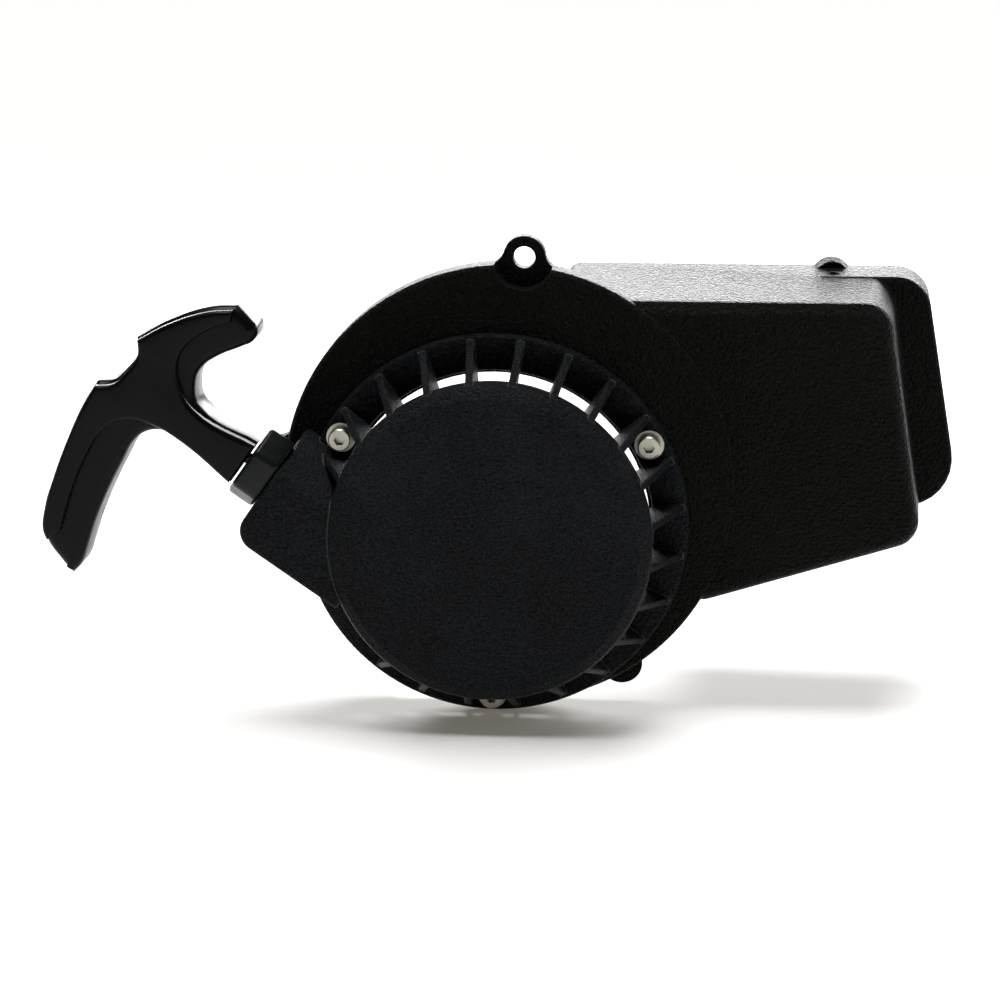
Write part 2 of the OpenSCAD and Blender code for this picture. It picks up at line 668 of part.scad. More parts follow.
module brake_spring() {
    color("#70757b") difference() {
        y_rod(brake_out_r, cam_y + cam_t + 0.05, cap_y - 0.02);
        y_rod(post_r + 0.3, cam_y, cap_y + 1);
    }
}
module centre_washer() {
    color("#c2c4c6") difference() {
        y_rod(cap_washer_r, cap_y, cap_y + cap_washer_t);
        y_rod(centre_d / 2 + 0.2, cap_y - 1, cap_y + cap_washer_t + 1);
    }
}
module centre_screw() {
    seat = cap_y + cap_washer_t;
    color("#8e9194") difference() {
        union() {
            y_rod(centre_d / 2, post_end_y - centre_depth + 1, seat + eps);
            y_turned([[0, seat], [centre_head_r, seat], [centre_head_r, seat + centre_head_h - 0.5],
                [centre_head_r - 0.5, seat + centre_head_h], [0, seat + centre_head_h]]);
        }
        y_rod(centre_d * 0.48, seat + centre_head_h / 2, seat + centre_head_h + 1, 0, 0, 6);
    }
}

fan_cover();
recoil_housing();
cover_screws();
cover_washers();
rope_guide();
rope_eyelet();
pull_handle();
handle_plug();
handle_knot();
rope_run();
rope_coil();
reel_knot();
reel();
reel_bush();
recoil_spring();
spring_cover();
spring_pin();
pawl_upper();
pawl_lower();
pawl_pins();
pawl_springs();
friction_plate();
brake_spring();
centre_washer();
centre_screw();
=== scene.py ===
# %% [markdown]
# # A recoil starter, from its CAD frame to a lit picture
#
# The part is a pull starter for a small engine: a round fan plate with an air duct at its
# side, a ribbed spring housing bolted to it, and a curved handle on a rope. The CAD frame
# gives every piece its place and size. This script loads that frame, remakes the pieces
# whose edges have to be soft, paints everything, and lights it on a pale table.

import math

import bmesh
import bpy
from mathutils import Matrix, Vector


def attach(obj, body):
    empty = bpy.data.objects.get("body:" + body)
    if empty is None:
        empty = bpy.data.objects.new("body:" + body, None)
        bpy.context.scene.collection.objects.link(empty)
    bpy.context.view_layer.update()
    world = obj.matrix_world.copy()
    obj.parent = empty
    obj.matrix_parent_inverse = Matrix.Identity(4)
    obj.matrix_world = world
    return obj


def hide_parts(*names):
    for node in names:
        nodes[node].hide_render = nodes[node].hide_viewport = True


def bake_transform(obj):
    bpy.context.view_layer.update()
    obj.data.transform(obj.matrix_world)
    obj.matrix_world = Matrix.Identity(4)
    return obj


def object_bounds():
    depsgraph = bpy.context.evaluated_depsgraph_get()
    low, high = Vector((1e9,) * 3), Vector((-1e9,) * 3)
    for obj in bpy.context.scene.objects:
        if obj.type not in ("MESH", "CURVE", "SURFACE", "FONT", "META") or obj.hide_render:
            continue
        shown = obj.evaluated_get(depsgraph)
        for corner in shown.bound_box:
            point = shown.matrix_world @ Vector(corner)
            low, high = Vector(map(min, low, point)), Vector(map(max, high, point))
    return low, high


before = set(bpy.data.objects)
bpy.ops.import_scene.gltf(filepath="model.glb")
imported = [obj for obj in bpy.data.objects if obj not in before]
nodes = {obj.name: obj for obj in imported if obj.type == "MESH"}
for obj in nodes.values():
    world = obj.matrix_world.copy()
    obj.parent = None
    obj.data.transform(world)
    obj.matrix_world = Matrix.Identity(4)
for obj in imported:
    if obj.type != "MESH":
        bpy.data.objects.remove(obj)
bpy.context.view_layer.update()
MM = 0.001

# %% [markdown]
# ## Camera
#
# A long lens from a little under a metre keeps round things round. The view
# is about 15 degrees from above and 4 degrees to the right of the crank axis. A camera looks
# down its own -Z axis, so its turn comes from the line that joins it to the point it aims at.

# %% Camera
AIM = Vector((1.68, -11.0, 7.70)) * MM
CAMERA_AZIMUTH, CAMERA_ELEVATION, CAMERA_AWAY = math.radians(4.16), math.radians(14.97), 0.700
towards_camera = Vector((
    math.sin(CAMERA_AZIMUTH) * math.cos(CAMERA_ELEVATION),
    -math.cos(CAMERA_AZIMUTH) * math.cos(CAMERA_ELEVATION),
    math.sin(CAMERA_ELEVATION),
))
camera = bpy.data.objects.new("camera", bpy.data.cameras.new("camera"))
bpy.context.scene.collection.objects.link(camera)
camera.data.sensor_width = 36.0
camera.data.lens = 81.66
camera.location = AIM + towards_camera * CAMERA_AWAY
camera.rotation_mode = "QUATERNION"
camera.rotation_quaternion = (-towards_camera).to_track_quat("-Z", "Y")
bpy.context.scene.camera = camera
print("camera at, mm:", [round(c / MM, 1) for c in camera.location])

# %% [markdown]
# ## Helpers for modelling
#
# Every new piece is a bmesh, Blender's mesh that can be edited step by step. Three small
# helpers cover nearly all of them: `outline` rounds the corners of a flat figure, `turned`
# spins a profile round the crank axis as a lathe does, and `prism` pushes a flat figure
# through a thickness. `finish_piece` closes a piece: it merges doubled corners, turns the
# faces outwards, smooths what is round, and ties the piece to its CAD body.

# %% Modelling helpers
def outline(corners, steps=5):
    """Points of a closed figure; a corner is (a, b) or (a, b, radius)."""
    points, n = [], len(corners)
    for i, corner in enumerate(corners):
        here = Vector(corner[:2])
        radius = corner[2] if len(corner) > 2 else 0
        if radius == 0:
            points.append(here)
            continue
        to_last = (Vector(corners[i - 1][:2]) - here).normalized()
        to_next = (Vector(corners[(i + 1) % n][:2]) - here).normalized()
        half = to_last.angle(to_next) / 2
        centre = here + (to_last + to_next).normalized() * radius / math.sin(half)
        start = here + to_last * radius / math.tan(half) - centre
        turn = start.angle_signed(here + to_next * radius / math.tan(half) - centre)
        for k in range(steps + 1):
            a = -turn * k / steps
            points.append(centre + Matrix.Rotation(a, 2) @ start)
    return points


def turned(bm, corners, steps=128, at=(0, 0)):
    """Spins a profile of (radius, y) corners, in mm, round the crank axis or a line beside it."""
    ring = [bm.verts.new(((at[0] + p.x) * MM, p.y * MM, at[1] * MM)) for p in outline(corners)]
    pairs = zip(ring, ring[1:] + ring[:1])
    solid = corners[0][0] == 0
    edges = [bm.edges.new(pair) for pair in pairs if not (solid and pair == (ring[-1], ring[0]))]
    bmesh.ops.spin(bm, geom=ring + edges, cent=(at[0] * MM, 0, at[1] * MM), axis=(0, 1, 0),
                   angle=math.tau, steps=steps, use_merge=True)


def prism(bm, corners, low, high, place=Matrix(), soft=0, steps=2):
    """Pushes a flat figure through from low to high, in mm, and softens all its sharp edges."""
    face = bm.faces.new([bm.verts.new((p.x * MM, p.y * MM, low * MM)) for p in outline(corners)])
    made = bmesh.ops.extrude_face_region(bm, geom=[face])["geom"]
    top = [g for g in made if isinstance(g, bmesh.types.BMVert)]
    bmesh.ops.translate(bm, verts=top, vec=(0, 0, (high - low) * MM))
    verts = list(face.verts) + top
    bm.normal_update()
    if soft:
        inside = set(verts)
        edges = [e for e in bm.edges if set(e.verts) <= inside and e.calc_face_angle(0) > 0.6]
        bevelled = bmesh.ops.bevel(bm, geom=edges, offset=soft * MM, segments=steps, profile=0.5,
                                   affect="EDGES", material=-1, clamp_overlap=True)
        verts = list({v for f in bevelled["faces"] for v in f.verts} | {v for v in verts if v.is_valid})
    bmesh.ops.transform(bm, matrix=place, verts=verts)
    return verts


def finish_piece(bm, name, body, nodes, smooth_below=38):
    """Turns a bmesh into an object on a CAD body, standing for CAD nodes."""
    bmesh.ops.remove_doubles(bm, verts=bm.verts, dist=0.002 * MM)
    bmesh.ops.recalc_face_normals(bm, faces=bm.faces)
    mesh = bpy.data.meshes.new(name)
    bm.to_mesh(mesh)
    bm.free()
    piece = bpy.data.objects.new(name, mesh)
    bpy.context.scene.collection.objects.link(piece)
    smooth(mesh, smooth_below)
    if body:
        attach(piece, body)
        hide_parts(*nodes)
    print(f"{name}: {len(mesh.polygons)} faces, {measure(mesh)}")
    return piece


def measure(mesh):
    """A closed piece has no open edges and a volume above zero."""
    bm = bmesh.new()
    bm.from_mesh(mesh)
    volume = bm.calc_volume(signed=True) / MM ** 3
    open_edges = sum(not e.is_manifold for e in bm.edges)
    bm.free()
    return f"{volume:.0f} mm3, {open_edges} open edges"


def smooth(mesh, below):
    """Shades a mesh smooth, except at edges sharper than an angle in degrees."""
    mesh.polygons.foreach_set("use_smooth", [True] * len(mesh.polygons))
    mesh.set_sharp_from_angle(angle=math.radians(below))


# Places for a prism: drawn in (X, Z) and pushed along +Y, or drawn in (Y, Z) and pushed along +X
UPRIGHT = Matrix(((1, 0, 0, 0), (0, 0, 1, 0), (0, 1, 0, 0), (0, 0, 0, 1)))
SIDEWAYS = Matrix(((0, 0, 1, 0), (1, 0, 0, 0), (0, 1, 0, 0), (0, 0, 0, 1)))


def at_clock(degrees):
    """A turn round the crank axis, from +Z towards +X."""
    return Matrix.Rotation(math.radians(degrees), 4, "Y")


# %% [markdown]
# ## Joining and cutting solids
#
# The Boolean modifier adds or takes away whole closed solids, and the volume printed after
# each shows that none went missing. The solids are joined a thousand times larger, in
# millimetres, so that thin slivers aren't lost, and are cleaned of tiny edges each time.

# %% Rods and Booleans
def rod(name, radius, y0, y1, x=0.0, z=0.0, steps=96, front_radius=None):
    """A round rod along Y from y0 to y1, in mm, or a cone if its front has another radius."""
    bm = bmesh.new()
    middle = Matrix.Translation(Vector((x, (y0 + y1) / 2, z)) * MM)
    place = middle @ Matrix.Rotation(math.radians(-90), 4, "X")
    bmesh.ops.create_cone(bm, cap_ends=True, segments=steps, radius1=(front_radius or radius) * MM,
                          radius2=radius * MM, depth=(y1 - y0) * MM, matrix=place)
    return finish_piece(bm, name, None, [])


def combine(piece, how, *others):
    """Joins, cuts or overlaps a piece with others, one at a time, and removes them."""
    larger, smaller = Matrix.Scale(1 / MM, 4), Matrix.Scale(MM, 4)
    piece.data.transform(larger)
    for other in others:
        other.data.transform(larger)
        step = piece.modifiers.new("join", "BOOLEAN")
        step.operation, step.solver, step.object = how, "EXACT", other
        bpy.context.view_layer.update()
        evaluated = piece.evaluated_get(bpy.context.evaluated_depsgraph_get())
        whole = bpy.data.meshes.new_from_object(evaluated)
        piece.modifiers.clear()
        clean = bmesh.new()
        clean.from_mesh(whole)
        bmesh.ops.remove_doubles(clean, verts=clean.verts, dist=0.002)
        bmesh.ops.dissolve_degenerate(clean, edges=clean.edges, dist=0.002)
        clean.to_mesh(whole)
        print(f"{how.lower()} {other.name}: {clean.calc_volume(signed=True):.0f} mm3")
        clean.free()
        piece.data = whole
        bpy.data.objects.remove(other)
    piece.data.transform(smaller)


def cut(bm, *cutters):
    """The mesh of a closed solid with cutters taken out of it."""
    solid = finish_piece(bm, "solid", None, [])
    combine(solid, "DIFFERENCE", *cutters)
    mesh = solid.data
    bpy.data.objects.remove(solid)
    return mesh


# %% [markdown]
# ## Spring housing
#
# On the real starter this is one moulding: a cup with a flat, slightly raised face, a foot
# ring, and ribs that run from the cup's rim back to the ring, with air gaps between them. A
# boss on one side takes the rope out. A cup and a ring are lathe work, so each is a profile
# that is spun. A rib is a thin prism, made once for each place on the clock.

# %% Spring housing
POD_R, FACE_R, RING_R, RING_IN_R = 49.0, 45.3, 60.0, 49.0
FACE_Y, RIM_Y, RING_Y, PLATE_Y = -38.0, -36.3, -14.0, -11.0
ROPE_ANGLE, ROPE_LINE, ROPE_Y = math.radians(35.2), 24.0, -23.8
OUTLET_U, GUIDE_U = 64.3, 73.3
rope_dir = Vector((-math.cos(ROPE_ANGLE), 0, math.sin(ROPE_ANGLE)))
rope_cross = Vector((math.sin(ROPE_ANGLE), 0, math.cos(ROPE_ANGLE)))
foot = (-rope_cross * ROPE_LINE + Vector((0, ROPE_Y, 0))) * MM
# The rope's own frame: X along the rope outwards, Y across it, Z towards the engine
ON_ROPE = Matrix.Translation(foot) @ Matrix((rope_dir, rope_cross, Vector((0, 1, 0)))).transposed().to_4x4()

cup = bmesh.new()
turned(cup, [
    (0, FACE_Y), (FACE_R, FACE_Y, 0.8), (POD_R - 0.8, RIM_Y - 0.2, 1.0), (POD_R, RIM_Y + 1.2, 1.2),
    (POD_R, RIM_Y + 7, 3), (46.2, -15.2, 1.0), (43.4, -15.2, 1.0), (43.4, -35.2, 2), (0, -35.2),
])
cup_piece = finish_piece(cup, "cup", None, [])
housing = bmesh.new()
turned(housing, [
    (RING_IN_R, PLATE_Y), (RING_R, PLATE_Y), (RING_R, RING_Y, 1.1), (RING_IN_R, RING_Y, 0.9),
])
rib_figure = [
    (-34.4, 47.6), (-34.4, 49.1, 0.8), (-13.0, 59.3, 0.8), (-13.0, 49.6), (-15.4, 45.2), (-29.3, 45.2),
]
RIBS, FIRST_RIB_CLOCK, RIB_HALF_T = 24, 8, 1.15
OUTLET_CLOCK, OUTLET_HALF_ANGLE = -math.degrees(ROPE_ANGLE) - 68, 27
rib_pitch = 360 / RIBS
rib_count = 0
for k in range(RIBS):
    clock = FIRST_RIB_CLOCK + rib_pitch * k
    if math.cos(math.radians(clock - OUTLET_CLOCK)) < math.cos(math.radians(OUTLET_HALF_ANGLE)):
        prism(housing, rib_figure, -RIB_HALF_T, RIB_HALF_T, at_clock(clock) @ SIDEWAYS, soft=0.55, steps=3)
        rib_count += 1
# Inside the cup: the hollow post for the reel, then the low wall round the spring
turned(housing, [(0, -36.2), (6, -36.2), (6, -13.15, 0.4), (3.06, -13.15), (3.06, -25), (0, -25)], 48)
turned(housing, [(33.6, -36.2), (35.8, -36.2), (35.8, -29.2, 0.3), (33.6, -29.2, 0.3)])
print("ribs:", rib_count)

# %% [markdown]
# The boss is drawn across the rope, as a slice, and pushed along the rope. Its front is flush
# with the cup's rim, and its upper side slopes back to the plate. The lower outer corner has
# a large radius, so it is rounded first, on its own, before the small bevel goes all round.
# Then the room for the reel and the rope's way through are cut from it, and a hole from the cup.

# %% Rope outlet
def outlet(bm, inner_u, outer_u):
    """The boss round the rope, between two places along it in mm."""
    front, back = RIM_Y + 0.6 - ROPE_Y, PLATE_Y - ROPE_Y
    figure = [(-20.0, front), (5.2, front), (15.6, back), (-20.0, back)]
    verts = prism(bm, figure, inner_u, outer_u, SIDEWAYS)
    edges = {e for v in verts for e in v.link_edges}
    end = [e for e in edges if all(v.co.x > (outer_u - 0.1) * MM for v in e.verts)]
    low = [e for e in end if all(v.co.y < -19 * MM for v in e.verts)]
    bmesh.ops.bevel(bm, geom=low, offset=6.5 * MM, segments=8, profile=0.5, affect="EDGES", material=-1)
    bm.normal_update()
    edges = [e for e in bm.edges if min(v.co.x for v in e.verts) > (inner_u + 1) * MM or
             (max(v.co.x for v in e.verts) > (outer_u - 8) * MM)]
    sharp = [e for e in edges if e.is_valid and e.calc_face_angle(0) > 0.35]
    bmesh.ops.bevel(bm, geom=sharp, offset=1.3 * MM, segments=3, profile=0.5, affect="EDGES",
                    material=-1, clamp_overlap=True)
    bmesh.ops.transform(bm, matrix=ON_ROPE, verts=bm.verts)


def rope_bore(name, radius, inner_u, outer_u, turn=0.0):
    """A round cutter along the rope, or turned towards the reel about its outer end."""
    bm = bmesh.new()
    half_back = Matrix.Translation(((inner_u - outer_u) / 2 * MM, 0, 0))
    along = half_back @ Matrix.Rotation(math.radians(90), 4, "Y")
    place = ON_ROPE @ Matrix.Translation((outer_u * MM, 0, 0)) @ Matrix.Rotation(turn, 4, "Z") @ along
    bmesh.ops.create_cone(bm, cap_ends=True, segments=40, radius1=radius * MM, radius2=radius * MM,
                          depth=(outer_u - inner_u) * MM, matrix=place)
    return finish_piece(bm, name, None, [])


BEND_U, BEND = 56.3, math.radians(9.5)
boss = bmesh.new()
outlet(boss, 26, OUTLET_U)
boss_piece = finish_piece(boss, "boss", None, [])
combine(boss_piece, "DIFFERENCE", rod("cup_room", 44.2, -34.6, -15.7, steps=128),
        rod("eye_room", 48.5, -16.2, -10, steps=128), rope_bore("sleeve_bore", 6.3, 58.2, 65.5),
        rope_bore("straight_bore", 4.0, 55, 60), rope_bore("slanted_bore", 4.2, 24, 57.3, BEND))
combine(cup_piece, "DIFFERENCE", rope_bore("cup_bore", 4.2, 30, 57.3, BEND))
for part in (boss_piece, cup_piece):
    housing.from_mesh(part.data)
    bpy.data.objects.remove(part)
housing_piece = finish_piece(housing, "spring_housing", "housing", ["recoil_housing"])

# %% [markdown]
# ## Fan plate
#
# The plate is a shallow drum with a rolled edge. Its rim isn't about the crank axis, so the
# profile is spun round a line beside it. It starts as a full disc: the eye, which is about
# the crank axis again, is cut out of it later.

# %% Fan plate
COVER_R, COVER_X, COVER_Z = 69.5, 3.8, 11.2
EYE_R, WALL = 48.0, 3.0
plate = bmesh.new()
turned(plate, [(0, PLATE_Y), (COVER_R, PLATE_Y, 1.4), (COVER_R, -0.4, 0.4), (0, -0.4)], 160,
       (COVER_X, COVER_Z))
plate_piece = finish_piece(plate, "fan_plate", None, [])

# %% [markdown]
# ## Air duct
#
# The duct is a box that widens towards the back, with a wider flange at its rear on the right.
# Each is a cube whose eight corners are put where the front and back corners are. The long
# edges get a large bevel and the front ones a smaller one. Smaller blocks are the hollow. Two
# closed blocks, one cut from the other, are safer than a thick skin, whose inner side crosses
# itself in a tight corner.

# %% Air duct
DUCT_FRONT = [(18.0, 69.5), (118.4, 69.5), (131.0, -3.4), (60.0, -25.8)]
DUCT_BACK = [(18.0, 74.2), (124.0, 74.2), (136.0, -6.0), (60.0, -29.8)]
FLANGE_FRONT = [(92.0, 72.9), (132.6, 72.9), (146.4, -1.0), (92.0, -1.0)]
FLANGE_BACK = [(92.0, 74.2), (133.6, 74.2), (147.9, -2.0), (92.0, -2.0)]


# Which corner of a four-cornered figure a cube's corner is: (on the right, at the top)
CORNERS = {(False, True): 0, (True, True): 1, (True, False): 2, (False, False): 3}


def block(name, front, back, inset, y0, y1, long_soft, front_soft, low_right_soft=None):
    """A closed block from a front figure at y0 to a back one at y1, all in mm, with soft edges."""
    bm = bmesh.new()
    bmesh.ops.create_cube(bm, size=1)
    for v in bm.verts:
        ring, y = (front, y0) if v.co.y < 0 else (back, y1)
        corner = CORNERS[(v.co.x > 0, v.co.z > 0)]
        middle = sum((Vector(c) for c in ring), Vector((0, 0))) / 4
        at = Vector(ring[corner])
        at -= Vector((math.copysign(inset, at.x - middle.x), math.copysign(inset, at.y - middle.y)))
        v.co = Vector((at.x, y, at.y)) * MM
    long_edges = [e for e in bm.edges if abs(e.verts[0].co.y - e.verts[1].co.y) > 5 * MM]
    low_right = [e for e in long_edges
                 if low_right_soft and e.verts[0].co.x > 120 * MM and e.verts[0].co.z < 10 * MM]
    others = [e for e in long_edges if e not in low_right]
    bmesh.ops.bevel(bm, geom=others, offset=long_soft * MM, segments=8, profile=0.5,
                    affect="EDGES", material=-1)
    low_right = [e for e in low_right if e.is_valid]
    if low_right:
        bmesh.ops.bevel(bm, geom=low_right, offset=low_right_soft * MM, segments=8, profile=0.5,
                        affect="EDGES", material=-1)
    rim = [e for e in bm.edges if all(v.co.y < (y0 + 0.1) * MM for v in e.verts)]
    bmesh.ops.bevel(bm, geom=rim, offset=front_soft * MM, segments=6, profile=0.5, affect="EDGES",
                    material=-1, clamp_overlap=True)
    return finish_piece(bm, name, None, [])


DUCT_Y, FLANGE_Y = PLATE_Y + 0.8, 22.0
duct_piece = block("duct", DUCT_FRONT, DUCT_BACK, 0, DUCT_Y, 38.0, 7.0, 4.6)
flange_piece = block("duct_flange", FLANGE_FRONT, FLANGE_BACK, 0, FLANGE_Y, 37.98, 9.0, 1.2, 19.0)
hollow_piece = block("duct_hollow", DUCT_FRONT, DUCT_BACK, WALL, DUCT_Y + WALL, 39.0, 4.5, 1.0)
flange_hollow = block("flange_hollow", FLANGE_FRONT, FLANGE_BACK, WALL, FLANGE_Y + WALL, 39.1,
                      6.5, 0.6, 17.0)

# %% [markdown]
# An ear is round at its tip and runs into the plate's round edge through two hollow arcs. Each
# arc touches both circles, so its centre lies where two larger circles cross, which is the
# ordinary triangle sum with three known sides.

# %% Ears, lug and holes
EARS = [(8.6, 82.2), (39.8, -46.5), (-66.8, 18.6)]
EAR_R, EAR_T, EAR_BLEND = 6.5, 5.0, 5.0
EAR_HOLE_R, THREAD_R, SCREW_HOLE_R = 3.3, 2.5, 2.1
LUG = (104, 70.6)
SCREW_CIRCLE_R = 54.4
# Each screw sits half way between two ribs, a third of a turn from the next
SCREW_CLOCKS = [FIRST_RIB_CLOCK + rib_pitch * (3.5 + 8 * k) for k in range(3)]


def arc(centre, start, end, steps):
    """Points from start to end round a centre, the short way."""
    first = start - centre
    turn = first.angle_signed(end - centre)
    return [centre + Matrix.Rotation(-turn * k / steps, 2) @ first for k in range(steps + 1)]


def ear(name, x, z):
    """An ear round (x, z), in mm, blended into the plate's edge."""
    out = Vector((x - COVER_X, z - COVER_Z))
    away, out = out.length, out.normalized()
    side = Vector((out.y, -out.x))
    plate_r = COVER_R - 0.3
    a, b = plate_r + EAR_BLEND, EAR_R + EAR_BLEND
    along = (a * a - b * b + away * away) / (2 * away)
    across = math.sqrt(a * a - along * along)
    middle = Vector((away, 0))
    blend_at = Vector((along, across))
    flank = arc(blend_at, blend_at * plate_r / a, middle + (blend_at - middle) * EAR_R / b, 7)
    tip = arc(middle, flank[-1], middle + Vector((EAR_R, 0)), 12)[1:]
    half = [Vector((plate_r - 6, flank[0].y))] + flank + tip
    figure = half + [Vector((p.x, -p.y)) for p in half[-2::-1]]
    bm = bmesh.new()
    placed = [(COVER_X + out.x * p.x + side.x * p.y, COVER_Z + out.y * p.x + side.y * p.y) for p in figure]
    prism(bm, placed, -EAR_T, -0.05, UPRIGHT)
    return finish_piece(bm, name, None, [])


SCREWS = [(SCREW_CIRCLE_R * math.sin(math.radians(a)), SCREW_CIRCLE_R * math.cos(math.radians(a)))
          for a in SCREW_CLOCKS]
scallop_wall = rod("scallop_wall", 11.0, PLATE_Y + 1, -0.6, *EARS[0])
combine(scallop_wall, "INTERSECT", rod("plate_disc", COVER_R - 0.2, -20, 5, COVER_X, COVER_Z, 160))
cover = plate_piece
combine(cover, "UNION", duct_piece, flange_piece)
combine(cover, "DIFFERENCE", hollow_piece, flange_hollow,
        rod("room", COVER_R - WALL, PLATE_Y + WALL, 0.3, COVER_X, COVER_Z), rod("flywheel", 58, -3, 60))
combine(cover, "UNION", *[ear(f"ear_{n}", x, z) for n, (x, z) in enumerate(EARS)],
        *[rod(f"screw_boss_{n}", 4.8, -9.5, -4, x, z, 40) for n, (x, z) in enumerate(SCREWS)],
        scallop_wall, rod("lug_boss", 3.2, 26.3, 36, *LUG, 32),
        rod("duct_lug", 6.4, 33.5, 37.9, *LUG, 48, front_radius=5.4))
combine(cover, "DIFFERENCE", rod("eye", EYE_R, -20, 5), rod("bite", 9.0, -20, -EAR_T, *EARS[0]),
        rod("ear_hole", EAR_HOLE_R, -20, 5, *EARS[0], 48), rod("lug_hole", THREAD_R, 28, 40, *LUG, 40),
        *[rod(f"ear_thread_{n}", THREAD_R, -7, 5, x, z, 40) for n, (x, z) in enumerate(EARS[1:])],
        *[rod(f"screw_hole_{n}", SCREW_HOLE_R, -20, 0, x, z, 32) for n, (x, z) in enumerate(SCREWS)])
cover.name = "fan_cover_casting"
smooth(cover.data, 38)
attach(cover, "housing")
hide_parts("fan_cover")

# %% [markdown]
# ## Pull handle
#
# The handle is a moulded T, longer on its lower side. Its outline is a Bezier curve: smooth
# where a knot's handles are automatic, cornered where they are vectors. A curve can be given
# a thickness and a round edge at once, and then be read back as a mesh. A thinner layer has
# the whole outline; a thicker one has the stem and the band along the back, which stand proud.

# %% Pull handle
def moulded(knots, thick, soft):
    """A Bezier outline of (u, v, cornered) knots in mm, with a thickness and round edges."""
    curve = bpy.data.curves.new("moulded", "CURVE")
    curve.dimensions, curve.fill_mode, curve.resolution_u = "2D", "BOTH", 6
    line = curve.splines.new("BEZIER")
    line.bezier_points.add(len(knots) - 1)
    line.use_cyclic_u = True
    for point, (u, v, cornered) in zip(line.bezier_points, knots):
        point.co = Vector((u, v, 0)) * MM
        point.handle_left_type = point.handle_right_type = "VECTOR" if cornered else "AUTO"
    curve.extrude, curve.bevel_depth = (thick / 2 - soft) * MM, soft * MM
    curve.bevel_resolution, curve.offset = 4, -soft * MM
    thing = bpy.data.objects.new("moulded", curve)
    bpy.context.scene.collection.objects.link(thing)
    bpy.context.view_layer.update()
    evaluated = thing.evaluated_get(bpy.context.evaluated_depsgraph_get())
    mesh = bpy.data.meshes.new_from_object(evaluated)
    bpy.data.objects.remove(thing)
    return mesh


GRIP = [
    (73.9, 7.6, 1), (94.4, 6.6, 0), (99.3, 11.6, 0), (100.4, 16.2, 0), (98.3, 22.4, 0), (94.1, 29.0, 0),
    (92.2, 32.6, 0), (93.2, 36.4, 0), (96.4, 37.6, 1), (101.9, 38.7, 1), (108.2, 33.8, 0), (116.1, 23.4, 0),
    (121.3, 13.0, 1), (118.5, 9.2, 0), (118.6, 3.0, 0), (119.8, -1.6, 0), (123.8, -5.2, 1), (123.5, -14, 0),
    (121.6, -26, 0), (118.5, -39.4, 0), (115.7, -48.4, 0), (112.5, -53.0, 0), (110.0, -55.9, 0),
    (101.0, -59.5, 1), (97.4, -60.3, 1), (96.9, -56.6, 0), (98.3, -50.8, 0), (100.7, -42.4, 0),
    (102.8, -31.7, 0), (104.1, -21.8, 0), (104.7, -14.2, 0), (103.4, -10.0, 0), (100.5, -7.1, 0),
    (96.9, -5.6, 0), (92.0, -5.7, 1), (73.9, -7.6, 1),
]
SPINE = [
    (74.2, 7.0, 1), (95, 5.4, 0), (102.6, 9.4, 0), (107.0, 15, 0), (107.2, 22, 0), (104.4, 28.8, 0),
    (100.6, 34.4, 1), (102.2, 37.4, 1), (107.8, 32.8, 0), (115.4, 22.9, 0), (120.4, 13.2, 1),
    (117.8, 9.2, 0), (117.9, 3, 0), (119.0, -2.0, 0), (123.2, -5.9, 1), (122.8, -14, 0), (120.9, -26, 0),
    (117.8, -39.2, 0), (115.0, -48, 0), (112.3, -53, 0), (109.4, -55.2, 1), (107.6, -50.4, 1),
    (111.4, -38, 0), (113.8, -26, 0), (114.0, -16, 0), (110.4, -9.4, 0), (103, -5.9, 0), (93, -5.0, 0),
    (74.2, -7.0, 1),
]
grip = bmesh.new()
for knots, thick, soft in [(GRIP, 16.0, 3.0), (SPINE, 21.0, 1.4)]:
    grip.from_mesh(moulded(knots, thick, soft))
bmesh.ops.transform(grip, matrix=ON_ROPE, verts=grip.verts)
handle_piece = finish_piece(grip, "pull_handle_moulding", "handle", ["pull_handle"], 50)

# %% [markdown]
# ## Rope guide
#
# The guide is a six-sided collar with soft corners, one flat towards the front. A hexagon is
# pushed along the rope, a bevel takes its ends down, and it is bored for the rope and eyelet.

# %% Rope guide
HEXAGON_R, HEXAGON_SOFT = 12.4, 2.6
bar = bmesh.new()
hexagon = [(HEXAGON_R * math.cos(math.radians(60 * k)), HEXAGON_R * math.sin(math.radians(60 * k)),
            HEXAGON_SOFT) for k in range(6)]
prism(bar, hexagon, OUTLET_U + 0.05, GUIDE_U, ON_ROPE @ SIDEWAYS, soft=1.3, steps=4)
collar = bmesh.new()
collar.from_mesh(cut(bar, rope_bore("guide_bore", 3.4, OUTLET_U - 1, GUIDE_U + 1),
                     rope_bore("eyelet_seat", 5.03, GUIDE_U - 4, GUIDE_U + 1)))
collar_piece = finish_piece(collar, "rope_guide_collar", "housing", ["rope_guide"], 30)
